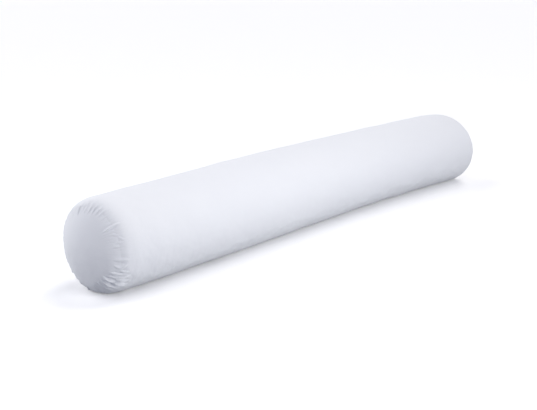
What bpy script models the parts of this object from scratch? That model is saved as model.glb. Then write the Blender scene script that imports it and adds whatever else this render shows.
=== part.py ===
"""A body pillow: one long filled tube of cotton, with a round panel gathered into each end.

The pillow lies along X with its near end at -X and rests on the plane z = 0. Every surface is
a loft of rings round a middle line that bows a little sideways. An end is a shallow dome (the
panel) inside a seam ring, then a shoulder that turns out to the tube's full girth. Puckers
cross the seam ring: each one is a ridge and a valley raised along the surface's normal.

Metres, +Z up. The origin is on the ground under the middle of the pillow's box.
"""

import math
from collections import namedtuple

import bmesh
import bpy
import numpy as np

# Driving dimensions
LENGTH = 1.400            # from the middle of one end panel to the middle of the other
TUBE_RADIUS = 0.100       # of the filled tube, before the uneven filling is counted
SEAM_RADIUS = 0.084       # of the ring where an end panel is sewn in
CLOTH = 0.002             # thickness of an end panel with its seam allowance
GAP = 0.0003              # kept between one piece and the next
REST_DROP = 0.008         # how far the filled tube settles below its round form
REST_TURN = 0.005         # half the height over which the flat base turns up into the side
SLUMP_LENGTH = 0.150      # stretch of tube over which an end's slump fades out
PUCKERS = 72              # round each seam
TUBE_RINGS = 12           # along the plain tube between the two shoulders

# The tube along its length: place from 0 (near) to 1 (far), how full it is there as a share of
# its radius, and how far its middle line is bowed sideways
Section = namedtuple("Section", "place fullness drift")
SECTIONS = (
    Section(0.00, 1.000, 0.000),
    Section(0.08, 0.995, 0.003),
    Section(0.22, 1.005, 0.008),
    Section(0.38, 1.020, 0.015),
    Section(0.54, 1.005, 0.019),
    Section(0.70, 0.990, 0.019),
    Section(0.86, 0.990, 0.011),
    Section(1.00, 0.995, 0.000),
)

# The two ends: side of the pillow, height of the panel's dome and the power of its curve,
# length of the dome and shoulder together, and power of the shoulder's curve. Then how the
# end slumps: lean, the slope by which its foot stands out beyond its top; skew, the slope by
# which its -Y side stands out beyond its +Y side; and droop, the share its crown sinks by
End = namedtuple("End", "side dome dome_power reach shoulder_power lean skew droop")
NEAR = End(-1, 0.034, 2.0, 0.086, 4.5, 0.00, 0.00, 0.00)
FAR = End(+1, 0.024, 1.8, 0.060, 4.0, 0.15, 0.10, 0.09)

# Puckers round the seam, as a clock face seen from outside: depth of a ridge, and how far it
# reaches along the tube and into the panel
Zone = namedtuple("Zone", "hour depth tube_reach panel_reach")
ZONES = (
    Zone(0.0, 0.0012, 0.030, 0.022),
    Zone(1.5, 0.0011, 0.026, 0.018),
    Zone(3.0, 0.0009, 0.024, 0.016),
    Zone(4.0, 0.0017, 0.036, 0.020),
    Zone(5.0, 0.0022, 0.044, 0.028),
    Zone(6.0, 0.0018, 0.040, 0.026),
    Zone(7.5, 0.0012, 0.030, 0.020),
    Zone(9.0, 0.0008, 0.024, 0.016),
    Zone(10.5, 0.0010, 0.026, 0.018),
)

# Rings of an end panel, as shares of the seam's radius, and rings of a shoulder, as shares of
# the way from the seam to the plain tube
PANEL_RINGS = (0.36, 0.66, 0.87)
SHOULDER_RINGS = (0.06, 0.15, 0.28, 0.50)

COTTON_COLOUR = (0.86, 0.87, 0.91, 1.0)
COTTON_ROUGHNESS = 0.85

STEPS_ROUND = 2 * PUCKERS


def smooth_curve(at, places, values):
    """Read a smooth curve through the given points: cubic pieces with shared slopes."""
    places = np.asarray(places, float)
    values = np.asarray(values, float)
    slopes = np.gradient(values, places)
    left = np.clip(np.searchsorted(places, at) - 1, 0, len(places) - 2)
    span = places[left + 1] - places[left]
    t = (at - places[left]) / span
    start = (2 * t**3 - 3 * t**2 + 1) * values[left] + (t**3 - 2 * t**2 + t) * span * slopes[left]
    finish = (3 * t**2 - 2 * t**3) * values[left + 1] + (t**3 - t**2) * span * slopes[left + 1]
    return start + finish


def along_tube(x, column):
    """Read one column of the section table at a place x, measured from mid-length."""
    places = [section.place for section in SECTIONS]
    values = [getattr(section, column) for section in SECTIONS]
    return smooth_curve(np.clip(x / LENGTH + 0.5, 0.0, 1.0), places, values)


def angles_round():
    """Angles of the ring's points: even steps, nudged so that no two puckers are alike."""
    step = 2 * math.pi / STEPS_ROUND
    count = np.arange(STEPS_ROUND)
    nudge = 0.22 * np.sin(2.3 * count) * np.sin(0.7 * count + 1.0)
    return step * (count + nudge)


def zone_value(angle, side, column):
    """Read one column of the pucker table round the ring, joined up smoothly at 12 o'clock.

    Seen from outside, +Y, where the angle starts, is at 9 on the near end and at 3 on the far.
    """
    hours = (6.0 - side * (3.0 + angle * 6.0 / math.pi)) % 12.0
    table = [zone.hour for zone in ZONES] + [12.0]
    values = [getattr(zone, column) for zone in ZONES] + [getattr(ZONES[0], column)]
    return np.interp(hours, table, values)


def pucker_height(angle, end, from_seam):
    """Height of the puckers on one ring; from_seam is negative on the panel."""
    column = "tube_reach" if from_seam > 0 else "panel_reach"
    reach = zone_value(angle, end.side, column)
    fade = np.clip(1.0 - abs(from_seam) / reach, 0.0, 1.0) ** 1.3
    count = np.arange(STEPS_ROUND)
    uneven = 1.0 + 0.35 * np.sin(1.9 * count + 0.4) * np.cos(0.63 * count)
    ridge_or_valley = np.where(count % 2 == 0, 1.0, -1.0)
    return zone_value(angle, end.side, "depth") * fade * uneven * ridge_or_valley


def profile(end, share, on_panel):
    """Depth below the pole, radius and outward normal of an end's profile.

    On the panel, share is the part of the seam's radius, and the depth grows as a power of
    it. On the shoulder, share is the part of the way from the seam to the plain tube, and
    the radius closes on the tube's as a power of what is left.
    """
    if on_panel:
        depth = end.dome * share**end.dome_power
        radius = SEAM_RADIUS * share
        run = end.dome * end.dome_power * share ** (end.dome_power - 1.0)
        rise = SEAM_RADIUS
    else:
        gain = TUBE_RADIUS - SEAM_RADIUS
        depth = end.dome + (end.reach - end.dome) * share
        radius = TUBE_RADIUS - gain * (1.0 - share) ** end.shoulder_power
        run = end.reach - end.dome
        rise = gain * end.shoulder_power * (1.0 - share) ** (end.shoulder_power - 1.0)
    size = math.hypot(run, rise)
    return depth, radius, (rise / size, run / size)


def slump(points, end):
    """Lean and skew the points near one end, and sink the crown there."""
    x, y, z = points.T
    start = LENGTH / 2 - SLUMP_LENGTH
    share = np.clip((end.side * x - start) / SLUMP_LENGTH, 0.0, 1.0) ** 2
    leant = x - end.side * share * (end.lean * z + end.skew * y)
    sunk = z - end.droop * share * np.clip(z, 0.0, None)
    return np.column_stack((leant, y, sunk))


def settle(points):
    """Slump both ends, bow the pillow sideways and settle it on its flat base."""
    leant, y, z = slump(slump(points, NEAR), FAR).T
    bowed = y + along_tube(points[:, 0], "drift")
    floor = REST_DROP - TUBE_RADIUS
    above = np.clip(z - floor + REST_TURN, 0.0, None)
    turned = floor + above**2 / (4 * REST_TURN)
    settled = np.where(z < floor + REST_TURN, turned, z)
    return np.column_stack((leant, bowed, settled - floor))


def end_ring(end, share, on_panel, inward=0.0, outward=0.0):
    """One ring of an end, moved inward along the pillow and widened outward round it."""
    angle = angles_round()
    depth, radius, (out, up) = profile(end, share, on_panel)
    from_seam = math.hypot(depth - end.dome, radius - SEAM_RADIUS)
    height = pucker_height(angle, end, -from_seam if on_panel else from_seam)
    x = end.side * (LENGTH / 2 - depth - inward + height * out)
    fullness = along_tube(end.side * (LENGTH / 2 - depth), "fullness")
    around = fullness * (radius + outward + height * up)
    points = np.column_stack((x, around * np.cos(angle), around * np.sin(angle)))
    return settle(points)


def end_pole(end, inward=0.0):
    """The middle point of an end's dome, or of the surface behind it."""
    point = np.array([[end.side * (LENGTH / 2 - inward), 0.0, 0.0]])
    return settle(point)[0]


def tube_ring(x):
    """One ring of the plain tube at a place x, measured from mid-length."""
    angle = angles_round()
    radius = TUBE_RADIUS * along_tube(x, "fullness")
    points = np.column_stack((np.full(STEPS_ROUND, x), radius * np.cos(angle), radius * np.sin(angle)))
    return settle(points)


def end_of_body(end):
    """Rings of the filled body at one end: the bed behind the panel, its rim, the shoulder."""
    bed = CLOTH + GAP
    rings = [end_ring(end, share, True, inward=bed) for share in PANEL_RINGS]
    rings.append(end_ring(end, 1.0, True, inward=bed, outward=GAP / 2))
    rings.append(end_ring(end, 1.0, True, outward=GAP / 2))
    rings.extend(end_ring(end, share, False) for share in SHOULDER_RINGS)
    return rings


def body_loft():
    """Rings of the whole filled body, near end to far end, with the pole at each end."""
    plain_from = NEAR.reach - LENGTH / 2
    plain_to = LENGTH / 2 - FAR.reach
    tube = [tube_ring(x) for x in np.linspace(plain_from, plain_to, TUBE_RINGS)]
    rings = end_of_body(NEAR) + tube + end_of_body(FAR)[::-1]
    bed = CLOTH + GAP
    return end_pole(NEAR, bed), rings, end_pole(FAR, bed)


def panel_loft(end):
    """Rings of an end panel: out over its face, across its rim and back behind it."""
    face = [end_ring(end, share, True) for share in PANEL_RINGS]
    face.append(end_ring(end, 1.0, True, outward=-GAP / 2))
    back = [end_ring(end, 1.0, True, inward=CLOTH, outward=-GAP / 2)]
    back.extend(end_ring(end, share, True, inward=CLOTH) for share in reversed(PANEL_RINGS))
    return end_pole(end), face + back, end_pole(end, CLOTH)


def centre_of_box(lofts):
    """Middle of the footprint of every loft together."""
    points = np.vstack([row for first, rings, last in lofts for row in (first, *rings, last)])
    middle = 0.5 * (points.min(axis=0) + points.max(axis=0))
    return np.array([middle[0], middle[1], 0.0])


def cotton(name):
    """A Principled BSDF for one piece of cotton."""
    material = bpy.data.materials.new(name)
    material.use_nodes = True
    shader = material.node_tree.nodes["Principled BSDF"]
    shader.inputs["Base Color"].default_value = COTTON_COLOUR
    shader.inputs["Roughness"].default_value = COTTON_ROUGHNESS
    shader.inputs["Metallic"].default_value = 0.0
    return material


def join_rings(form, wide, narrow):
    """Join two rings with triangles, each cut from a ridge of the wider to a valley."""
    for ridge in range(0, STEPS_ROUND, 2):
        for valley in (ridge - 1, ridge + 1):
            form.faces.new((wide[ridge], narrow[valley], wide[valley]))
            form.faces.new((wide[ridge], narrow[ridge], narrow[valley]))


def add_loft(name, loft, shift):
    """Join the rings of a loft, close its two poles and add it as an object."""
    first_pole, rings, last_pole = loft
    form = bmesh.new()
    grid = [[form.verts.new(point - shift) for point in ring] for ring in rings]
    spread = [np.ptp(ring[:, 1]) for ring in rings]
    for step in range(len(grid) - 1):
        wide, narrow = (step, step + 1) if spread[step] > spread[step + 1] else (step + 1, step)
        join_rings(form, grid[wide], grid[narrow])
    for pole, ring in ((first_pole, grid[0]), (last_pole, grid[-1])):
        middle = form.verts.new(pole - shift)
        for step in range(STEPS_ROUND):
            form.faces.new((middle, ring[step - 1], ring[step]))
    bmesh.ops.recalc_face_normals(form, faces=form.faces)
    mesh = bpy.data.meshes.new(name)
    form.to_mesh(mesh)
    form.free()
    mesh.shade_smooth()
    mesh.set_sharp_from_angle(angle=math.radians(50))
    mesh.materials.append(cotton(name + "_cotton"))
    piece = bpy.data.objects.new(name, mesh)
    bpy.context.scene.collection.objects.link(piece)


def build_pillow():
    """Build the filled body and its two end panels round the middle of their shared box."""
    lofts = {
        "pillow_body": body_loft(),
        "end_panel_near": panel_loft(NEAR),
        "end_panel_far": panel_loft(FAR),
    }
    shift = centre_of_box(lofts.values())
    for name, loft in lofts.items():
        add_loft(name, loft, shift)


for leftover in list(bpy.data.objects):
    bpy.data.objects.remove(leftover, do_unlink=True)
build_pillow()
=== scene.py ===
"""Looks of a round body pillow: one long filled tube of fine white cotton, with a round
panel gathered into each end, on a pale studio floor.

The pillow lies along X with its near end at -X. Every cloth surface is a function of two
parameters on a grid: the arc along the pillow's profile, measured from a seam and negative on
the end panel, and the angle round it. Metres, +Z up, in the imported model's own frame.
"""

import logging
import math
from dataclasses import dataclass
from enum import Enum

import bpy
import numpy as np
from mathutils import Matrix, Vector


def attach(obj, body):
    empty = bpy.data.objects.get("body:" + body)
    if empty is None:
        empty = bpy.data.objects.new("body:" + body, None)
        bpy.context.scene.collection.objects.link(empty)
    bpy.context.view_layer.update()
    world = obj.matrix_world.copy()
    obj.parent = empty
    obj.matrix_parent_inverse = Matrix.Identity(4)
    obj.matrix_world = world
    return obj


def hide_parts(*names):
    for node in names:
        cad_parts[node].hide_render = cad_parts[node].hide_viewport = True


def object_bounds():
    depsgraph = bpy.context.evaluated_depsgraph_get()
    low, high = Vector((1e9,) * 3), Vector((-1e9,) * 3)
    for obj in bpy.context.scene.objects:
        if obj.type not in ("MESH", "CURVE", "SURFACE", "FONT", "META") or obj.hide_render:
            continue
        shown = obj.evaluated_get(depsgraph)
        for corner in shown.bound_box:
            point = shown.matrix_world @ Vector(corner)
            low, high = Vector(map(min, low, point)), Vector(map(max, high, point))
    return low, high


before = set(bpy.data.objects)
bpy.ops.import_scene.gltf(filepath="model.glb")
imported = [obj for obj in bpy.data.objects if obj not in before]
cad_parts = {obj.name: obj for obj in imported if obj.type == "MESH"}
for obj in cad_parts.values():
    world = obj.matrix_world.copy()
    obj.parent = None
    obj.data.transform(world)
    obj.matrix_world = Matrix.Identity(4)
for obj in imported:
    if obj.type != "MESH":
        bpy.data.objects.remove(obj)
CAD_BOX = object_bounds()

BODY = "root"
CLOCK = 12.0
MILLIMETRE = 0.001
TURN = 2.0 * math.pi
RING_STEPS = 720
NO_TRIANGLES = np.empty((0, 3), int)
Colour = tuple[float, float, float, float]
Span = tuple[float, float]
log = logging.getLogger("body_pillow")


class Side(Enum):
    """Which end of the pillow, as the sign of its place along X."""

    NEAR = -1
    FAR = 1

    def hours(self, angle: np.ndarray) -> np.ndarray:
        """Hours on a clock face seen from outside, of angles round X from +Y towards +Z."""
        # The angle starts at 9 on the near end and at 3 on the far one.
        return (6.0 - self.value * (3.0 + angle * 6.0 / math.pi)) % CLOCK


@dataclass(frozen=True)
class Section:
    """The tube at one place along it, from 0 at the near end to 1 at the far end."""

    place: float
    fullness: float
    drift: float


@dataclass(frozen=True)
class EndShape:
    """Profile of one end, and how that end slumps."""

    side: Side
    dome: float
    dome_power: float
    reach: float
    shoulder_power: float
    lean: float = 0.0
    skew: float = 0.0
    droop: float = 0.0


@dataclass(frozen=True)
class Reach:
    """How the cloth gathers at one hour of an end's clock face: the strength of its puckers,
    how far they run up the tube and onto the panel, and the share of the end's bulge."""

    hour: float
    strength: float
    tube: float
    panel: float
    bulge: float


@dataclass(frozen=True)
class Bulge:
    """How far the filling pushes the cloth out at one arc from the seam, in millimetres."""

    arc: float
    height: float


@dataclass(frozen=True)
class Crease:
    """One main crease across a seam.

    hour is where it crosses the seam. It runs from start to finish along the profile, both in
    millimetres from the seam and negative on the panel. lean is the hours it shifts in each 10
    mm of that way, bend the hours it curves by in each 10 mm squared, height and width are its
    ridge's, in millimetres.
    """

    hour: float
    start: float
    finish: float
    height: float
    width: float
    lean: float = 0.0
    bend: float = 0.0


SECTIONS = (
    Section(0.00, 1.000, 0.000),
    Section(0.08, 0.995, 0.003),
    Section(0.22, 1.005, 0.008),
    Section(0.38, 1.020, 0.015),
    Section(0.54, 1.005, 0.019),
    Section(0.70, 0.990, 0.019),
    Section(0.86, 0.990, 0.011),
    Section(1.00, 0.995, 0.000),
)
NEAR_END = EndShape(Side.NEAR, 0.034, 2.0, 0.086, 4.5)
FAR_END = EndShape(Side.FAR, 0.024, 1.8, 0.060, 4.0, lean=0.15, skew=0.10, droop=0.09)

REACHES = (
    Reach(0.0, 0.42, 0.020, 0.022, 0.2),
    Reach(1.2, 0.22, 0.016, 0.018, 0.4),
    Reach(2.0, 0.12, 0.014, 0.018, 0.7),
    Reach(3.0, 0.12, 0.016, 0.018, 1.0),
    Reach(4.0, 0.35, 0.030, 0.022, 1.0),
    Reach(5.0, 0.50, 0.040, 0.028, 0.9),
    Reach(6.0, 0.90, 0.038, 0.026, 0.3),
    Reach(7.5, 1.00, 0.030, 0.022, 0.0),
    Reach(9.0, 0.80, 0.026, 0.020, 0.0),
    Reach(10.3, 0.75, 0.024, 0.020, 0.0),
)

NEAR_BULGE = (
    Bulge(-85.0, 0.0),
    Bulge(-45.0, 2.2),
    Bulge(-12.0, 4.5),
    Bulge(6.0, 0.5),
    Bulge(22.0, -3.0),
    Bulge(45.0, -2.6),
    Bulge(100.0, 0.0),
)
FLAT = (Bulge(-85.0, 0.0), Bulge(100.0, 0.0))

NEAR_CREASES = (
    Crease(3.14, -12, 15, 2.0, 3.6),
    Crease(3.51, -11, 13, 2.0, 3.0, lean=-0.03, bend=0.10),
    Crease(3.68, 1, 18, 2.5, 2.2),
    Crease(3.83, -16, 17, 2.9, 2.3, lean=-0.01),
    Crease(4.00, -18, 24, 3.6, 2.4, lean=-0.05),
    Crease(4.31, -25, 1, 4.4, 3.4),
    Crease(4.16, 0, 26, 3.5, 2.4, lean=-0.01),
    Crease(4.40, -4, 27, 4.3, 2.4, lean=-0.01),
    Crease(4.61, -25, 15, 4.6, 2.7),
    Crease(4.90, -27, 9, 2.5, 2.6),
    Crease(5.14, -30, 6, 1.7, 2.4),
    Crease(5.36, -26, 8, 1.5, 2.6),
    Crease(5.62, -18, 12, 1.5, 3.0),
    Crease(10.90, -16, 3, 0.8, 2.6),
    Crease(11.12, -14, 3, 0.6, 2.2),
    Crease(11.35, -18, 6, 2.3, 2.3),
    Crease(11.62, -10, 5, 1.0, 2.2),
    Crease(11.82, -14, -1, 1.1, 2.2),
    Crease(12.10, -15, 3, 1.1, 2.4),
    Crease(12.33, -12, 5, 1.0, 1.8),
    Crease(12.57, -10, 9, 0.8, 2.4),
    Crease(12.79, -8, 8, 0.9, 2.4),
    Crease(13.04, -10, 2, 0.6, 2.4),
    Crease(13.28, -4, 10, 0.4, 2.4),
    Crease(13.61, -21, 13, 1.7, 2.6),
    Crease(13.80, -9, -1, 0.9, 2.4),
    Crease(14.02, -9, 2, 1.1, 2.4, lean=0.10),
    Crease(14.10, 3, 11, 1.1, 2.2, lean=0.20),
    Crease(14.38, -3, 5, 1.0, 2.2),
    Crease(14.52, -11, -1, 1.0, 2.6),
)


def smooth_curve(at: np.ndarray, places: np.ndarray, values: np.ndarray) -> np.ndarray:
    """Join the values at some places by cubic pieces, and hold the first and last beyond them.

    Args:
        at: Where to read the curve.
        places: Places of the values, going up.
        values: The values, from which each place also takes its slope.

    Returns:
        The curve's height at each place read.
    """
    slopes = np.gradient(values, places)
    inside = np.clip(at, places[0], places[-1])
    left = np.clip(np.searchsorted(places, inside) - 1, 0, len(places) - 2)
    span = places[left + 1] - places[left]
    t = (inside - places[left]) / span
    start = (2 * t**3 - 3 * t**2 + 1) * values[left] + (t**3 - 2 * t**2 + t) * span * slopes[left]
    rest = (3 * t**2 - 2 * t**3) * values[left + 1] + (t**3 - t**2) * span * slopes[left + 1]
    return start + rest


def ring_angles(steps: int) -> np.ndarray:
    """Even angles round X for the points of a ring, from 0."""
    return np.arange(steps) * TURN / steps


@dataclass(frozen=True)
class PillowForm:
    """Smooth form of the filled pillow, with the same sizes as its solids."""

    length: float = 1.400
    tube_radius: float = 0.100
    seam_radius: float = 0.084
    rest_drop: float = 0.008
    rest_turn: float = 0.005
    slump_length: float = 0.150
    chords: int = 2000
    ends: tuple[EndShape, EndShape] = (NEAR_END, FAR_END)
    sections: tuple[Section, ...] = SECTIONS

    def along(self, x: np.ndarray, column: str) -> np.ndarray:
        """Read a column of the sections along the tube.

        Args:
            x: Places along the pillow, measured from mid-length.
            column: Name of the field to read.

        Returns:
            The column's value at each place.
        """
        places = np.array([section.place for section in self.sections])
        values = np.array([getattr(section, column) for section in self.sections])
        return smooth_curve(x / self.length + 0.5, places, values)

    def profile(self, end: EndShape) -> tuple[np.ndarray, np.ndarray, np.ndarray]:
        """Chords of an end's profile, from the pole, over the seam and along the tube.

        On the panel, the depth below the pole grows as a power of the share of the seam's
        radius. On the shoulder, the radius closes on the tube's as a power of the share that
        is left. From there the profile runs straight.

        Args:
            end: The end's shape.

        Returns:
            Arc from the seam, depth below the pole and radius, at each chord's end.
        """
        share = np.linspace(0.0, 1.0, self.chords)
        gain = self.tube_radius - self.seam_radius
        panel_depth = end.dome * share**end.dome_power
        shoulder_depth = end.dome + (end.reach - end.dome) * share[1:]
        shoulder_radius = self.tube_radius - gain * (1.0 - share[1:]) ** end.shoulder_power
        depth = np.concatenate((panel_depth, shoulder_depth, [end.reach + self.length]))
        radius = np.concatenate((self.seam_radius * share, shoulder_radius, [self.tube_radius]))
        chord = np.hypot(np.diff(depth), np.diff(radius))
        arc = np.concatenate(([0.0], np.cumsum(chord)))
        return arc - arc[self.chords - 1], depth, radius

    def pole_arc(self, end: EndShape) -> float:
        """Arc of an end's pole from its seam, which is negative."""
        return float(self.profile(end)[0][0])

    def middle_arc(self, end: EndShape) -> float:
        """Arc of the pillow's mid-length from an end's seam."""
        arc, depth, _ = self.profile(end)
        return float(np.interp(self.length / 2, depth, arc))

    def straight(
        self,
        end: EndShape,
        arc: np.ndarray,
        angle: np.ndarray,
        height: np.ndarray | float = 0.0,
        sink: float = 0.0,
    ) -> np.ndarray:
        """Points of one end of the pillow before it is settled.

        A point stands on the profile turned round X, moved out by height along the profile's
        own normal and in along the pillow by sink.

        Args:
            end: The end's shape.
            arc: Arcs from the seam, one for each ring.
            angle: Angles round X, one for each point of a ring.
            height: How far each point stands off the profile, as rings by angles.
            sink: Distance inward along the pillow.

        Returns:
            Points as rings by angles by 3.
        """
        travelled, depths, radii = self.profile(end)
        step = 0.5 * MILLIMETRE
        depth = np.interp(arc, travelled, depths)
        radius = np.interp(arc, travelled, radii)
        run = np.interp(arc + step, travelled, depths) - np.interp(arc - step, travelled, depths)
        rise = np.interp(arc + step, travelled, radii) - np.interp(arc - step, travelled, radii)
        size = np.hypot(run, rise)
        out, up = (rise / size)[:, None], (run / size)[:, None]
        side = end.side.value
        fullness = self.along(side * (self.length / 2 - depth), "fullness")[:, None]
        x = side * (self.length / 2 - depth[:, None] - sink + height * out)
        around = fullness * (radius[:, None] + height * up)
        grid = np.broadcast_arrays(x, around * np.cos(angle), around * np.sin(angle))
        return np.stack(grid, axis=-1)

    def settle(self, points: np.ndarray) -> np.ndarray:
        """Slump both ends, bow the pillow sideways and settle it on its flat base.

        Near an end, a point moves along X by its slump share times the lean times its height
        and the skew times its side, and its crown sinks by the droop. The middle line drifts
        along Y. Below the floor the form is flat, with a quadratic turn up into its side.

        Args:
            points: Points of the straight pillow, with 3 as the last axis.

        Returns:
            The settled points, in the same shape.
        """
        x, y, z = points[..., 0], points[..., 1], points[..., 2]
        bowed = y + self.along(x, "drift")
        leant, sunk = x, z
        for end in self.ends:
            start = self.length / 2 - self.slump_length
            share = np.clip((end.side.value * x - start) / self.slump_length, 0.0, 1.0) ** 2
            leant = leant - end.side.value * share * (end.lean * z + end.skew * y)
            sunk = sunk - end.droop * share * np.clip(z, 0.0, None)
        floor = self.rest_drop - self.tube_radius
        above = np.clip(sunk - floor + self.rest_turn, 0.0, None)
        turned = floor + above**2 / (4.0 * self.rest_turn)
        settled = np.where(sunk < floor + self.rest_turn, turned, sunk)
        return np.stack((leant, bowed, settled - floor), axis=-1)

    def shift(self) -> np.ndarray:
        """Step from the form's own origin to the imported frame's, which is under its box.

        Returns:
            The step.
        """
        angle = np.linspace(0.0, TURN, RING_STEPS + 1)
        places = 400
        lowest, highest = [], []
        for end in self.ends:
            arc = np.linspace(self.pole_arc(end), self.middle_arc(end), places)
            points = self.settle(self.straight(end, arc, angle)).reshape(-1, 3)
            lowest.append(points.min(axis=0))
            highest.append(points.max(axis=0))
        middle = 0.5 * (np.min(lowest, axis=0) + np.max(highest, axis=0))
        target = 0.5 * (np.array(CAD_BOX[0]) + np.array(CAD_BOX[1]))
        return np.array([target[0] - middle[0], target[1] - middle[1], 0.0])


@dataclass(frozen=True)
class GatherCloth:
    """Cloth simulation of one end: the wide tube and the wide flat disc it was cut from are
    drawn into the narrow seam ring, and the spare cloth buckles into puckers."""

    steps: int = 360
    frames: int = 12
    quality: int = 5
    mass: float = 0.0005
    pressure: float = 20.0
    stretch: float = 200.0
    shear: float = 2.0
    bending: float = 0.01
    start_height: float = 0.001
    start_puckers: int = 72
    start_jitter: float = 0.35
    start_width: float = 0.30
    start_least: float = 0.6
    start_range: float = 0.8
    start_reach: float = 0.018
    held_tube: float = 0.095
    held_panel: float = -0.050
    deepen: float = 2.8
    cap: float = 0.0025

    def start(self, arc: np.ndarray, seed: int) -> np.ndarray:
        """Small uneven bumps that the puckers grow from.

        Bumps stand at jittered even places round the seam, with bell-shaped sections, and fade
        as a bell on both sides of it.

        Args:
            arc: Arcs from the seam.
            seed: Seed of the jitter.

        Returns:
            Heights as rings by angles.
        """
        random = np.random.default_rng(seed)
        pitch = TURN / self.start_puckers
        stray = self.start_jitter * random.standard_normal(self.start_puckers)
        place = pitch * (np.arange(self.start_puckers) + stray)
        depth = self.start_least + self.start_range * random.random(self.start_puckers)
        apart = (ring_angles(self.steps)[:, None] - place + math.pi) % TURN - math.pi
        bumps = (depth * np.exp(-((apart / (self.start_width * pitch)) ** 2))).sum(axis=1)
        bumps = bumps - bumps.mean()
        fade = np.exp(-((arc / self.start_reach) ** 2))
        return self.start_height * fade[:, None] * bumps / np.abs(bumps).max()

    def cut(self, form: PillowForm, arc: np.ndarray) -> np.ndarray:
        """The cloth as it was cut: a flat disc for the panel and a straight tube of full girth.

        Args:
            form: The pillow's form.
            arc: Arcs from the seam.

        Returns:
            Points as rings by angles by 3.
        """
        angle = ring_angles(self.steps)
        radius = form.tube_radius + np.minimum(arc, 0.0)[:, None]
        along = np.maximum(arc, 0.0)[:, None] + 0.0 * angle
        return np.stack((along, radius * np.cos(angle), radius * np.sin(angle)), axis=-1)

    def puckers(self, form: PillowForm, end: EndShape, arc: np.ndarray, seed: int) -> np.ndarray:
        """Simulate the gathering and read how far each point stands off the smooth form.

        Args:
            form: The pillow's form.
            end: The end to gather.
            arc: Arcs from the seam.
            seed: Seed of the start.

        Returns:
            Heights as rings by angles, without each ring's mean. The cloth's springs take up
            part of the spare cloth, so the puckers are deepened to hold it, then capped.
        """
        angle = ring_angles(self.steps)
        smooth = form.straight(end, arc, angle)
        start = form.straight(end, arc, angle, height=self.start(arc, seed))
        here, there, here_on, there_on = ring_corners(len(arc), self.steps)
        quads = np.stack((here, here_on, there_on, there), axis=-1)
        mesh = bpy.data.meshes.new("gather_cloth")
        fill_mesh(mesh, start.reshape(-1, 3), quads.reshape(-1, 4))
        cloth = bpy.data.objects.new("gather_cloth", mesh)
        bpy.context.scene.collection.objects.link(cloth)
        cloth.shape_key_add(name="sewn")
        cut = cloth.shape_key_add(name="cut")
        cut.data.foreach_set("co", self.cut(form, arc).ravel())
        cut.value = 0.0
        held = cloth.vertex_groups.new(name="held")
        rings = np.flatnonzero((arc > self.held_tube) | (arc < self.held_panel))
        points = (rings[:, None] * self.steps + np.arange(self.steps)).ravel()
        held.add(points.tolist(), 1.0, "REPLACE")
        self.drape(cloth, cut)
        settled = evaluated_points(cloth).reshape(smooth.shape)
        bpy.context.scene.frame_set(1)
        bpy.data.objects.remove(cloth)
        bpy.data.meshes.remove(mesh)
        outward = form.straight(end, arc, angle, height=MILLIMETRE) - smooth
        outward /= np.linalg.norm(outward, axis=-1, keepdims=True)
        height = ((settled - smooth) * outward).sum(axis=-1)
        deeper = self.deepen * (height - height.mean(axis=1, keepdims=True))
        return np.clip(deeper, -self.cap, self.cap)

    def drape(self, cloth: bpy.types.Object, cut: bpy.types.ShapeKey) -> None:
        """Give the cloth its Cloth settings and step through the frames.

        Args:
            cloth: The cloth, with a vertex group for its held rings.
            cut: Shape key of the cloth as it was cut, whose lengths it tries to keep.
        """
        modifier = cloth.modifiers.new("cloth", "CLOTH")
        settings = modifier.settings
        settings.quality = self.quality
        settings.mass = self.mass
        settings.air_damping = 0.0
        springs = {"tension": self.stretch, "compression": self.stretch, "shear": self.shear}
        for strain, stiffness in springs.items():
            setattr(settings, f"{strain}_stiffness", stiffness)
            setattr(settings, f"{strain}_damping", 0.0)
        settings.bending_stiffness = self.bending
        settings.vertex_group_mass = "held"
        settings.use_pressure = True
        settings.uniform_pressure_force = self.pressure
        settings.effector_weights.gravity = 0.0
        settings.rest_shape_key = cut
        modifier.collision_settings.use_collision = False
        modifier.point_cache.frame_start = 1
        modifier.point_cache.frame_end = self.frames
        for step in range(1, self.frames + 1):
            bpy.context.scene.frame_set(step)


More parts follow.
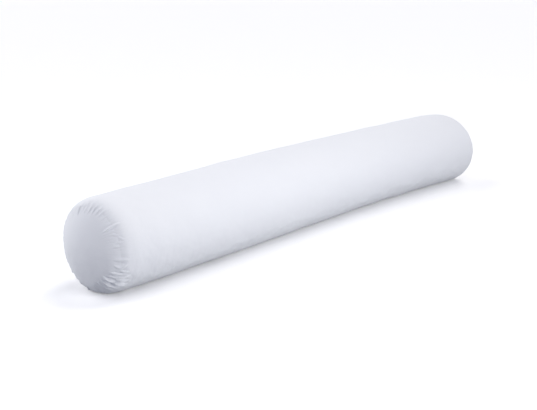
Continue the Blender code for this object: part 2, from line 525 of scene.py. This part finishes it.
@dataclass(frozen=True)
class Gather:
    """Height of all puckers and creases round one end's seam."""

    form: PillowForm
    end: EndShape
    cloth: GatherCloth
    creases: tuple[Crease, ...]
    bulge: tuple[Bulge, ...]
    reaches: tuple[Reach, ...] = REACHES
    strength: float = 1.0
    seed: int = 3
    seam_groove: float = 0.0001
    seam_width: float = 0.0012
    plain_height: float = 0.0007
    fine_pitch: float = 0.0021
    fine_tube: Span = (0.0, 0.062)
    fine_panel: Span = (0.0021, 0.040)
    tube_pitch: float = 0.006
    plain_tube: Span = (0.064, 0.125)
    panel_pitch: float = 0.004
    plain_panel: Span = (0.042, 0.084)
    crease_stretch: float = 1.2
    tip_width: float = 0.6
    tip_power: float = 1.3

    def arcs(self) -> np.ndarray:
        """Places of the gathered cloth's rings: close together at the seam, then wider apart.

        Returns:
            Their arcs from the seam, going up.
        """
        fine = self.fine_pitch
        tube = (np.arange(*self.fine_tube, fine), np.arange(*self.plain_tube, self.tube_pitch))
        panel = (np.arange(*self.fine_panel, fine), np.arange(*self.plain_panel, self.panel_pitch))
        return np.concatenate((-np.concatenate(panel)[::-1], *tube))

    def reach_value(self, hours: np.ndarray, column: str) -> np.ndarray:
        """Read a column of the reaches round the clock, joined up at 12.

        Args:
            hours: Hours to read at.
            column: Name of the field to read.

        Returns:
            The column's value at each hour.
        """
        rows = (*self.reaches, self.reaches[0])
        table = [reach.hour for reach in self.reaches] + [CLOCK]
        return np.interp(hours, table, [getattr(row, column) for row in rows])

    def crease_height(self, crease: Crease, hours: np.ndarray, arc: np.ndarray) -> np.ndarray:
        """Height of one crease.

        Across, it is a ridge between shallow valleys: one less the square of the distance in
        widths, times a bell. Along, it fades as one less the square of the share of its half
        length, and narrows towards both tips.

        Args:
            crease: The crease.
            hours: Hours of the grid's angles.
            arc: Arcs from the seam, in metres.

        Returns:
            Heights as rings by angles, in metres.
        """
        travelled = arc / MILLIMETRE
        middle = 0.5 * (crease.start + crease.finish)
        share = (travelled - middle) / (self.crease_stretch * 0.5 * (crease.finish - crease.start))
        fade = np.clip(1.0 - share**2, 0.0, 1.0)
        tens = travelled / 10.0
        centre = crease.hour + crease.lean * tens - crease.bend * tens**2
        apart = (hours[None, :] - centre[:, None] + CLOCK / 2) % CLOCK - CLOCK / 2
        distance = apart * TURN * self.form.seam_radius / CLOCK / MILLIMETRE
        u = distance / (crease.width * (self.tip_width + (1.0 - self.tip_width) * fade[:, None]))
        section = (1.0 - u**2) * np.exp(-0.5 * u**2)
        return crease.height * MILLIMETRE * fade[:, None] ** self.tip_power * section

    def height(self, angle: np.ndarray) -> np.ndarray:
        """Height of the gathered cloth off the smooth form.

        The simulated puckers take the hour's strength and fade over its reach. The main creases
        and the bulge are added, and the seam pulls a narrow groove.

        Args:
            angle: Angles round X, evenly spaced.

        Returns:
            Heights as rings by angles.
        """
        arc = self.arcs()
        hours = self.end.side.hours(angle)
        coarse = self.cloth.puckers(self.form, self.end, arc, self.seed)
        spectrum = np.fft.rfft(coarse, axis=1)
        fine = np.fft.irfft(spectrum, n=len(angle), axis=1) * (len(angle) / coarse.shape[1])
        up_tube, on_panel = self.reach_value(hours, "tube"), self.reach_value(hours, "panel")
        reach = np.where(arc[:, None] > 0.0, up_tube, on_panel)
        fade = np.clip(1.0 - (np.abs(arc)[:, None] / reach) ** 2, 0.0, 1.0)
        total = fine * fade * self.reach_value(hours, "strength") * self.strength
        for crease in self.creases:
            total = total + self.crease_height(crease, hours, arc)
        groove = self.seam_groove * np.exp(-((arc / self.seam_width) ** 2))
        places = np.array([row.arc for row in self.bulge]) * MILLIMETRE
        heights = np.array([row.height for row in self.bulge]) * MILLIMETRE
        bulge = smooth_curve(arc, places, heights)[:, None] * self.reach_value(hours, "bulge")
        return total + bulge - groove[:, None]


def ring_corners(rings: int, steps: int) -> tuple[np.ndarray, np.ndarray, np.ndarray, np.ndarray]:
    """Number the corners of the quads between rings that close on themselves.

    Args:
        rings: Number of rings.
        steps: Points in a ring.

    Returns:
        For each quad, its point on one ring, on the next ring, and both of them a step on.
    """
    index = np.arange(rings * steps).reshape(rings, steps)
    here, there = index[:-1], index[1:]
    return here, there, np.roll(here, -1, axis=1), np.roll(there, -1, axis=1)


def fill_mesh(
    mesh: bpy.types.Mesh, points: np.ndarray, quads: np.ndarray, triangles: np.ndarray = NO_TRIANGLES
) -> None:
    """Put points, quads and triangles into an empty mesh as whole arrays.

    Args:
        mesh: The mesh.
        points: Points by 3.
        quads: Point numbers, faces by 4.
        triangles: Point numbers, faces by 3.
    """
    corners = np.concatenate((quads.ravel(), triangles.ravel())).astype(np.int32)
    sizes = np.concatenate((np.full(len(quads), 4), np.full(len(triangles), 3)))
    starts = np.concatenate(([0], np.cumsum(sizes)[:-1])).astype(np.int32)
    mesh.vertices.add(len(points))
    mesh.vertices.foreach_set("co", points.astype(np.float32).ravel())
    mesh.loops.add(len(corners))
    mesh.loops.foreach_set("vertex_index", corners)
    mesh.polygons.add(len(sizes))
    mesh.polygons.foreach_set("loop_start", starts)
    mesh.update(calc_edges=True)
    mesh.validate()


def evaluated_points(piece: bpy.types.Object) -> np.ndarray:
    """Points of an object as its modifiers leave them.

    Args:
        piece: The object.

    Returns:
        Points by 3.
    """
    evaluated = piece.evaluated_get(bpy.context.evaluated_depsgraph_get())
    points = np.empty(len(evaluated.data.vertices) * 3, np.float32)
    evaluated.data.vertices.foreach_get("co", points)
    return points.reshape(-1, 3).astype(float)


@dataclass
class Loft:
    """A closed skin of rings with a pole at each end.

    across and along are the cloth's own coordinates, and girth is how far across has grown
    where a ring comes back to its first point.
    """

    name: str
    rings: np.ndarray
    poles: tuple[np.ndarray, np.ndarray]
    across: np.ndarray
    along: np.ndarray
    girth: float = 0.0
    sharp: tuple[int, ...] = ()

    def build(self) -> bpy.types.Object:
        """Join the rings with quads, close both poles with fans and add the object.

        Returns:
            The new object, smooth shaded, at the origin.
        """
        rings, steps = self.rings.shape[:2]
        here, there, here_on, there_on = ring_corners(rings, steps)
        quads = np.stack((here, there, there_on, here_on), axis=-1)
        first, last = rings * steps, rings * steps + 1
        start, finish = here[0], there[-1]
        head = np.stack((np.full(steps, first), start, np.roll(start, -1)), axis=-1)
        tail = np.stack((np.full(steps, last), np.roll(finish, -1), finish), axis=-1)
        points = np.concatenate((self.rings.reshape(-1, 3), np.stack(self.poles)))
        mesh = bpy.data.meshes.new(self.name)
        fill_mesh(mesh, points, quads.reshape(-1, 4), np.concatenate((head, tail)))
        self.lay_cloth(mesh, rings, steps)
        mesh.shade_smooth()
        self.sharpen(mesh, steps)
        piece = bpy.data.objects.new(self.name, mesh)
        bpy.context.scene.collection.objects.link(piece)
        return piece

    def sharpen(self, mesh: bpy.types.Mesh, steps: int) -> None:
        """Mark the edges of the sharp rings, so that shading breaks there.

        Args:
            mesh: The mesh.
            steps: Points in a ring.
        """
        ends = np.empty(len(mesh.edges) * 2, np.int32)
        mesh.edges.foreach_get("vertices", ends)
        ring = ends.reshape(-1, 2) // steps
        marks = (ring[:, 0] == ring[:, 1]) & np.isin(ring[:, 0], self.sharp)
        mesh.edges.foreach_set("use_edge_sharp", marks)

    def lay_cloth(self, mesh: bpy.types.Mesh, rings: int, steps: int) -> None:
        """Write the cloth's coordinates, in metres, as the mesh's UV map.

        Args:
            mesh: The mesh, with its quads first and its two fans after them.
            rings: Number of rings; not used.
            steps: Points in a ring.
        """
        u = np.concatenate((self.across, self.across[:, :1] + self.girth), axis=1)
        v = np.concatenate((self.along, self.along[:, :1]), axis=1)
        low, high = slice(None, -1), slice(1, None)
        corners = ((low, low), (high, low), (high, high), (low, high))
        quad_uv = np.stack([np.stack((u[a, b], v[a, b]), axis=-1) for a, b in corners], axis=2)
        fans = []
        for ring, order in ((0, (low, high)), (-1, (high, low))):
            tip = np.stack((np.full(steps, u[ring].mean()), np.full(steps, v[ring].mean())), axis=-1)
            sides = [np.stack((u[ring, part], v[ring, part]), axis=-1) for part in order]
            fans.append(np.stack((tip, *sides), axis=1))
        layer = mesh.uv_layers.new(name="cloth")
        flat = np.concatenate((quad_uv.ravel(), fans[0].ravel(), fans[1].ravel()))
        layer.data.foreach_set("uv", flat.astype(np.float32))


@dataclass
class LongPanel:
    """The long tube of cotton with its filling: a padded piece that closes behind each panel."""

    form: PillowForm
    gathers: tuple[Gather, Gather]
    heights: tuple[np.ndarray, np.ndarray]
    steps: int
    cloth: float = 0.002
    gap: float = 0.0003
    bed_depth: float = 0.0052
    bed_margin: float = 0.010
    ring_pitch: float = 0.028
    lump_height: float = 0.0006
    lump_waves: int = 14
    lump_lengths: Span = (0.09, 0.34)
    lump_turns: tuple[int, int] = (1, 6)
    lump_seed: int = 11
    calm_length: float = 0.10
    name: str = "long_panel"
    bed_shares: tuple[float, ...] = (0.0, 0.35, 0.65, 0.85, 1.0)

    def lumps(self, x: np.ndarray, angle: np.ndarray) -> np.ndarray:
        """Soft unevenness of the filling: a sum of long waves along and round the tube.

        Args:
            x: Places along the pillow, as rings by 1.
            angle: Angles round X.

        Returns:
            Heights as rings by angles.
        """
        random = np.random.default_rng(self.lump_seed)
        total = np.zeros((len(x), len(angle)))
        for _ in range(self.lump_waves):
            length = random.uniform(*self.lump_lengths)
            turns = random.integers(*self.lump_turns)
            phase, twist = random.uniform(0.0, TURN, 2)
            total += np.sin(TURN * x / length + phase) * np.sin(turns * angle + twist)
        return self.lump_height * total / math.sqrt(self.lump_waves)

    def half(self, gather: Gather, height: np.ndarray) -> tuple[np.ndarray, np.ndarray, np.ndarray]:
        """Rings of one half of the tube, from the bed behind its panel to mid-length.

        Args:
            gather: The gathering of this end.
            height: Heights of the gathered cloth, as the gather's rings by angles.

        Returns:
            Rings of points, the arc of each ring, and the pole of the bed.
        """
        form, end, angle = self.form, gather.end, ring_angles(self.steps)
        arc = gather.arcs()
        tube = arc >= 0.0
        seam = np.flatnonzero(tube)[:1]
        bed_arc = form.pole_arc(end) * (1.0 - np.array(self.bed_shares[1:]))
        beds = form.straight(end, bed_arc, angle, sink=self.bed_depth)
        wall = form.straight(end, arc[seam], angle, height[seam], sink=self.cloth + self.gap)
        skin = form.straight(end, arc[tube], angle, height[tube])
        last = arc[-1]
        middle = form.middle_arc(end)
        plain = np.linspace(last, middle, int((middle - last) / self.ring_pitch) + 1)[1:]
        rest = form.straight(end, plain, angle)
        bed_places = np.full(len(bed_arc), -self.bed_margin)
        arcs = np.concatenate((bed_places, [-0.5 * self.bed_margin], arc[tube], plain))
        rings = np.concatenate((beds, wall, skin, rest))
        pole = form.straight(end, np.array([form.pole_arc(end)]), angle[:1], sink=self.bed_depth)
        return rings, arcs, pole[0, 0]

    def build(self, shift: np.ndarray) -> bpy.types.Object:
        """Loft both halves into one closed piece.

        Args:
            shift: Step from the form's origin to the frame's.

        Returns:
            The tube's object.
        """
        near, near_arc, near_pole = self.half(self.gathers[0], self.heights[0])
        far, far_arc, far_pole = self.half(self.gathers[1], self.heights[1])
        rings = np.concatenate((near, far[::-1][1:]))
        total = near_arc[-1] + far_arc[-1]
        arcs = np.concatenate((near_arc, total - far_arc[::-1][1:]))
        angle = ring_angles(self.steps)
        calm = np.clip(np.minimum(arcs, total - arcs) / self.calm_length, 0.0, 1.0)[:, None] ** 2
        lumps = calm * self.lumps(rings[:, :1, 0], angle)
        around = np.hypot(rings[..., 1], rings[..., 2])
        scale = (around + lumps) / around
        rings = np.stack((rings[..., 0], rings[..., 1] * scale, rings[..., 2] * scale), axis=-1)
        rings = self.form.settle(rings) + shift
        poles = [self.form.settle(pole) + shift for pole in (near_pole, far_pole)]
        across = np.broadcast_to(angle * self.form.tube_radius, rings.shape[:2])
        along = np.broadcast_to(arcs[:, None], rings.shape[:2])
        seams = (len(self.bed_shares), len(rings) - 1 - len(self.bed_shares))
        girth = TURN * self.form.tube_radius
        piece = Loft(self.name, rings, (poles[0], poles[1]), across, along, girth, seams).build()
        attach(piece, BODY)
        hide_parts("pillow_body")
        return piece


@dataclass
class RoundPanel:
    """A round end panel: a disc of cotton, drawn into a dome and gathered at its seam."""

    form: PillowForm
    gather: Gather
    height: np.ndarray
    steps: int
    node: str
    name: str
    cloth: float = 0.002

    def build(self, shift: np.ndarray) -> bpy.types.Object:
        """Loft the panel's face out to its rim and its back in again.

        Args:
            shift: Step from the form's origin to the frame's.

        Returns:
            The panel's object.
        """
        form, end = self.form, self.gather.end
        angle = ring_angles(self.steps)
        arc = self.gather.arcs()
        gathered = arc <= 0.0
        arcs, height = arc[gathered], self.height[gathered]
        face = form.straight(end, arcs, angle, height)
        back = form.straight(end, arcs, angle, height, sink=self.cloth)
        poles = [
            form.straight(end, np.array([form.pole_arc(end)]), angle[:1], sink=sink)[0, 0]
            for sink in (0.0, self.cloth)
        ]
        rings = form.settle(np.concatenate((face, back[::-1]))) + shift
        tips = [form.settle(pole) + shift for pole in poles]
        if end.side is Side.FAR:
            rings, tips = rings[::-1], tips[::-1]
        radius = form.tube_radius + np.concatenate((arcs, arcs[::-1]))[:, None]
        across, along = radius * np.cos(angle), radius * np.sin(angle)
        rims = (len(arcs) - 1, len(arcs))
        piece = Loft(self.name, rings, (tips[0], tips[1]), across, along, sharp=rims).build()
        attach(piece, BODY)
        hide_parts(self.node)
        return piece


class Number:
    """A shader socket that takes part in sums, where each operator adds one Math node."""

    def __init__(self, net: "Net", socket: bpy.types.NodeSocket) -> None:
        """Keep the net and the output socket that holds the value."""
        self.net = net
        self.socket = socket

    def _math(self, operation: str, first: "Number | float", second: "Number | float") -> "Number":
        """Add one Math node and return its result."""
        made = self.net.node("ShaderNodeMath", {"operation": operation}, {0: first, 1: second})
        return Number(self.net, made.outputs[0])

    def __add__(self, other: "Number | float") -> "Number":
        """Sum of two values."""
        return self._math("ADD", self, other)

    def __sub__(self, other: "Number | float") -> "Number":
        """Difference of two values."""
        return self._math("SUBTRACT", self, other)

    def __mul__(self, other: "Number | float") -> "Number":
        """Product of two values."""
        return self._math("MULTIPLY", self, other)

    __radd__ = __add__
    __rmul__ = __mul__

    def wave(self) -> "Number":
        """Sine of the value."""
        return self._math("SINE", self, 0.0)


class Net:
    """The node net of a material or a world."""

    def __init__(self, owner: bpy.types.Material | bpy.types.World) -> None:
        """Empty the owner's net.

        Args:
            owner: The material or world.
        """
        owner.use_nodes = True
        self.tree = owner.node_tree
        self.tree.nodes.clear()

    def node(self, kind: str, settings: dict | None = None, values: dict | None = None) -> bpy.types.Node:
        """Add a node, set it up, then fill or link its sockets.

        Args:
            kind: The node's type.
            settings: Properties of the node, set first.
            values: Values or links, by socket name or number.

        Returns:
            The node.
        """
        made = self.tree.nodes.new(kind)
        for key, value in (settings or {}).items():
            setattr(made, key, value)
        for key, value in (values or {}).items():
            source = value.socket if isinstance(value, Number) else value
            if isinstance(source, bpy.types.NodeSocket):
                self.tree.links.new(source, made.inputs[key])
            else:
                made.inputs[key].default_value = source
        return made

    def noise(self, place: bpy.types.NodeSocket, scale: float, detail: float = 2.0) -> Number:
        """Smooth noise from 0 to 1 at a place, with a scale in repeats a metre."""
        made = self.node("ShaderNodeTexNoise", {}, {"Vector": place, "Scale": scale, "Detail": detail})
        return Number(self, made.outputs[0])

    def surface(self, height: Number, distance: float, values: dict) -> None:
        """Add a bump and the shader, and join them to the output.

        Args:
            height: Height of the relief.
            distance: The step that a height of 1 stands for.
            values: Values or links of the shader's other sockets.
        """
        bump = self.node("ShaderNodeBump", {}, {"Distance": distance, "Height": height}).outputs[0]
        shader = self.node("ShaderNodeBsdfPrincipled", {}, {"Normal": bump, **values}).outputs[0]
        self.node("ShaderNodeOutputMaterial", {}, {"Surface": shader})

    def ramp(self, value: bpy.types.NodeSocket, span: Span, result: Span) -> Number:
        """Map a value's span smoothly onto a span of results, and hold it beyond.

        Args:
            value: The value.
            span: Where the change starts and ends.
            result: Results at the start and the end.

        Returns:
            The result.
        """
        ends = {"From Min": span[0], "From Max": span[1], "To Min": result[0], "To Max": result[1]}
        made = self.node("ShaderNodeMapRange", {"interpolation_type": "SMOOTHSTEP"}, {"Value": value, **ends})
        return Number(self, made.outputs[0])


@dataclass(frozen=True)
class CottonFinish:
    """Fine down-proof cotton: a tight plain weave with a cool white tint and a dull surface."""

    name: str
    white: Colour = (0.876, 0.888, 0.904, 1.0)
    cool: Colour = (0.856, 0.870, 0.893, 1.0)
    drift_scale: float = 7.0
    roughness: float = 0.78
    roughness_drift: float = 0.08
    thread: float = 0.0005
    weave_height: float = 0.000015
    slub_scale: float = 900.0
    slub_least: float = 0.6
    slub_range: float = 0.8
    crumple_height: float = 0.00016
    crumple_scales: Span = (60.0, 150.0)
    fine_crumples: float = 0.5
    rumple_height: float = 0.0055
    rumple_scale: float = 34.0
    rumple_levels: Span = (0.0, 0.13)
    rumple_shares: Span = (1.0, 0.1)
    pleat_height: float = 0.0005
    pleats: float = 32.0
    pleat_slant: float = 1.2
    pleat_rise: Span = (0.625, 0.665)
    pleat_rim: Span = (0.062, 0.083)
    axis_height: float = 0.095
    sheen: float = 0.10
    sheen_roughness: float = 0.45

    def material(self) -> bpy.types.Material:
        """Build the material.

        The weave is the product of a sine wave across the warp and one across the weft, on the
        cloth's own coordinates, made uneven by noise. More noises add soft crumples, rumples
        low down, where the filling's weight lies, and a slow drift of the tint. Fine pleats
        run across both seams.

        Returns:
            The material.
        """
        material = bpy.data.materials.new(self.name)
        net = Net(material)
        place = net.node("ShaderNodeTexCoord").outputs["Object"]
        cloth = net.node("ShaderNodeUVMap", {"uv_map": "cloth"}).outputs["UV"]
        parts = net.node("ShaderNodeSeparateXYZ", {}, {"Vector": cloth})
        turn = math.pi / self.thread
        warp = (Number(net, parts.outputs[0]) * turn).wave()
        weft = (Number(net, parts.outputs[1]) * turn).wave()
        slub = net.noise(cloth, self.slub_scale)
        weave = (warp * weft) * (self.slub_least + self.slub_range * slub)
        coarse, fine = self.crumple_scales
        crumple = net.noise(place, coarse, detail=3.0) + self.fine_crumples * net.noise(place, fine)
        level = net.node("ShaderNodeSeparateXYZ", {}, {"Vector": place}).outputs[2]
        low = net.ramp(level, self.rumple_levels, self.rumple_shares)
        rumple = low * (net.noise(place, self.rumple_scale) - 0.5)
        relief = self.weave_height / MILLIMETRE * weave
        relief = relief + self.crumple_height / MILLIMETRE * crumple
        relief = relief + self.rumple_height / MILLIMETRE * rumple
        relief = relief + self.pleat_height / MILLIMETRE * self.pleat(net, place)
        drift = net.noise(place, self.drift_scale, detail=3.0)
        mix = {0: drift, 6: self.white, 7: self.cool}
        colour = net.node("ShaderNodeMix", {"data_type": "RGBA"}, mix).outputs[2]
        dullness = self.roughness + self.roughness_drift * (drift - 0.5)
        values = {
            "Base Color": colour,
            "Roughness": dullness,
            "Sheen Weight": self.sheen,
            "Sheen Roughness": self.sheen_roughness,
        }
        net.surface(relief, MILLIMETRE, values)
        return material

    def pleat(self, net: Net, place: bpy.types.NodeSocket) -> Number:
        """Fine pleats across both seams.

        They are noise read at the unit spoke from the pillow's middle line and slid slowly
        along the pillow, so they are narrow and long. They fade up the tube and towards the
        panel's middle.

        Args:
            net: The material's net.
            place: Object coordinates.

        Returns:
            The pleats, from -0.5 to 0.5.
        """
        parts = net.node("ShaderNodeSeparateXYZ", {}, {"Vector": place}).outputs
        height = Number(net, parts[2]) - self.axis_height
        flat = net.node("ShaderNodeCombineXYZ", {}, {"Y": parts[1], "Z": height}).outputs[0]
        spoke = net.node("ShaderNodeVectorMath", {"operation": "NORMALIZE"}, {0: flat}).outputs[0]
        radius = net.node("ShaderNodeVectorMath", {"operation": "LENGTH"}, {0: flat}).outputs[1]
        slide = self.pleat_slant * (Number(net, parts[0]) + Number(net, radius))
        shift = net.node("ShaderNodeCombineXYZ", {}, {"X": slide}).outputs[0]
        moved = net.node("ShaderNodeVectorMath", {"operation": "ADD"}, {0: spoke, 1: shift}).outputs[0]
        far = net.node("ShaderNodeMath", {"operation": "ABSOLUTE"}, {0: parts[0]}).outputs[0]
        up_tube = net.ramp(far, self.pleat_rise, (0.0, 1.0))
        on_panel = net.ramp(radius, self.pleat_rim, (0.0, 1.0))
        return (up_tube * on_panel) * (net.noise(moved, self.pleats, detail=1.0) - 0.5)


@dataclass(frozen=True)
class Lamp:
    """A studio light that faces the pillow's middle."""

    name: str
    azimuth: float
    elevation: float
    power: float
    distance: float = 3.0
    colour: tuple[float, float, float] = (1.0, 1.0, 1.0)

    def fill_in(self) -> bpy.types.Light:
        """Make the kind of light, without its power and colour."""
        raise NotImplementedError

    def build(self, target: Vector) -> bpy.types.Object:
        """Add the light.

        Args:
            target: The point it faces.

        Returns:
            The light's object.
        """
        data = self.fill_in()
        data.energy = self.power
        data.color = self.colour
        light = bpy.data.objects.new(self.name, data)
        away = direction(self.azimuth, self.elevation)
        light.location = target + away * self.distance
        light.rotation_mode = "QUATERNION"
        light.rotation_quaternion = away.to_track_quat("Z", "Y")
        light.visible_camera = False
        bpy.context.scene.collection.objects.link(light)
        return light


@dataclass(frozen=True)
class WideBank(Lamp):
    """A far bank of lights, seen as a wide disc, which lights floor and pillow evenly."""

    spread: float = 40.0

    def fill_in(self) -> bpy.types.Light:
        """Make a sun with a wide disc."""
        data = bpy.data.lights.new(self.name, "SUN")
        data.angle = math.radians(self.spread)
        return data


@dataclass(frozen=True)
class SoftBox(Lamp):
    """A square soft box."""

    size: float = 1.5

    def fill_in(self) -> bpy.types.Light:
        """Make a square area light."""
        data = bpy.data.lights.new(self.name, "AREA")
        data.shape = "SQUARE"
        data.size = self.size
        return data


def direction(azimuth: float, elevation: float) -> Vector:
    """Unit step away from the pillow, by degrees round it, from -Y towards +X, and up."""
    a, e = math.radians(azimuth), math.radians(elevation)
    return Vector((math.sin(a) * math.cos(e), -math.cos(a) * math.cos(e), math.sin(e)))


@dataclass(frozen=True)
class Studio:
    """Pale floor, even sky, soft boxes and the camera."""

    floor_size: float = 60.0
    floor_roughness: float = 0.9
    grain_scale: float = 40.0
    grain_height: float = 0.0002
    paper_colour: Colour = (0.985, 0.985, 0.985, 1.0)
    paper_glow: float = 0.20
    table_colour: Colour = (0.47, 0.48, 0.51, 1.0)
    sky: Colour = (0.080, 0.084, 0.145, 1.0)
    azimuth: float = -50.53
    elevation: float = 14.32
    distance: float = 2.5811
    step_right: float = -0.0792
    step_up: float = -0.0417
    focal: float = 1070.0
    picture_width: float = 537.0
    sensor_width: float = 36.0
    farthest: float = 200.0
    lamps: tuple[Lamp, ...] = (
        WideBank("right_bank", 90.0, 52.0, 1.50, colour=(1.0, 0.985, 0.95)),
        WideBank("left_bank", -120.0, 20.0, 0.76, spread=30.0),
        WideBank("rim_bank", -148.0, 42.0, 0.82, colour=(0.95, 0.97, 1.0)),
        WideBank("back_bank", 170.0, 15.0, 1.05, colour=(1.0, 0.985, 0.95)),
        SoftBox("front_box", 0.0, 8.0, 16.8, distance=1.8, size=0.8),
        SoftBox("camera_box", -40.0, 50.0, 11.0, distance=2.5, size=1.2),
    )

    def sheet(self, name: str, colour: Colour, level: float, glow: float = 0.0) -> bpy.types.Object:
        """Add a wide level sheet with a faint grain, which isn't part of the object.

        Args:
            name: Name of the sheet.
            colour: Its colour.
            level: Its height.
            glow: Light it gives of its own.

        Returns:
            The sheet.
        """
        half = self.floor_size / 2
        corners = np.array([(-half, -half), (half, -half), (half, half), (-half, half)])
        points = np.column_stack((corners, np.full(4, level)))
        mesh = bpy.data.meshes.new(name)
        fill_mesh(mesh, points, np.array([[0, 1, 2, 3]]))
        material = bpy.data.materials.new(name)
        net = Net(material)
        place = net.node("ShaderNodeTexCoord").outputs["Object"]
        grain = net.noise(place, self.grain_scale)
        values = {
            "Base Color": colour,
            "Roughness": self.floor_roughness,
            "Emission Color": colour,
            "Emission Strength": glow,
        }
        net.surface(grain, self.grain_height, values)
        mesh.materials.append(material)
        sheet = bpy.data.objects.new(name, mesh)
        bpy.context.scene.collection.objects.link(sheet)
        return sheet

    def floor(self) -> bpy.types.Object:
        """Add the floor in two sheets: white paper that is seen, and a greyer table under it.

        Only the table gives light back to the pillow, so its underside stays in soft shade.

        Returns:
            The paper.
        """
        paper = self.sheet("floor_paper", self.paper_colour, 0.0, self.paper_glow)
        paper.visible_diffuse = False
        paper.visible_shadow = False
        table = self.sheet("floor_table", self.table_colour, -MILLIMETRE)
        table.visible_camera = False
        return paper

    def light(self, target: Vector) -> None:
        """Add the sky and the lamps, and keep the picture's tones as they are lit.

        Args:
            target: The point that the lamps face.
        """
        scene = bpy.context.scene
        scene.view_settings.view_transform = "Standard"
        world = bpy.data.worlds.new("studio")
        net = Net(world)
        background = net.node("ShaderNodeBackground", {}, {"Color": self.sky})
        net.node("ShaderNodeOutputWorld", {}, {"Surface": background.outputs[0]})
        scene.world = world
        for lamp in self.lamps:
            lamp.build(target)

    def camera(self, pivot: Vector) -> bpy.types.Object:
        """Add the camera, level and turned to look along the view's direction.

        Args:
            pivot: The point that the view's steps are measured from.

        Returns:
            The camera.
        """
        back = direction(self.azimuth, self.elevation)
        a = math.radians(self.azimuth)
        right = Vector((math.cos(a), math.sin(a), 0.0))
        up = back.cross(right)
        data = bpy.data.cameras.new("camera")
        data.sensor_width = self.sensor_width
        data.lens = data.sensor_width * self.focal / self.picture_width
        data.clip_end = self.farthest
        camera = bpy.data.objects.new("camera", data)
        camera.location = pivot + right * self.step_right + up * self.step_up + back * self.distance
        camera.rotation_mode = "QUATERNION"
        camera.rotation_quaternion = Matrix((right, up, back)).transposed().to_quaternion()
        bpy.context.scene.collection.objects.link(camera)
        bpy.context.scene.camera = camera
        return camera


def report(piece: bpy.types.Object) -> None:
    """Log a finished piece's name and size."""
    log.info("%s: %d points, %d faces", piece.name, len(piece.data.vertices), len(piece.data.polygons))


def main() -> None:
    """Build the pillow, dress it and set up the studio."""
    logging.basicConfig(level=logging.INFO, format="%(name)s: %(message)s")
    form = PillowForm()
    shift = form.shift()
    cloth = GatherCloth()
    gathers = (
        Gather(form, NEAR_END, cloth, NEAR_CREASES, NEAR_BULGE, seed=3),
        Gather(form, FAR_END, cloth, (), FLAT, strength=0.45, seed=8),
    )
    angle = ring_angles(RING_STEPS)
    heights = tuple(gather.height(angle) for gather in gathers)
    tube = LongPanel(form, gathers, (heights[0], heights[1]), RING_STEPS).build(shift)
    tube.data.materials.append(CottonFinish("tube_cotton").material())
    report(tube)
    end_cotton = CottonFinish("end_cotton").material()
    names = (("end_panel_near", "near_panel"), ("end_panel_far", "far_panel"))
    for gather, height, (node, name) in zip(gathers, heights, names):
        panel = RoundPanel(form, gather, height, RING_STEPS, node, name).build(shift)
        panel.data.materials.append(end_cotton)
        report(panel)
    studio = Studio()
    report(studio.floor())
    lowest, highest = CAD_BOX
    studio.light((lowest + highest) / 2)
    studio.camera(Vector(shift) + Vector((0.0, 0.0, form.tube_radius - form.rest_drop)))


if __name__ == "__main__":
    main()
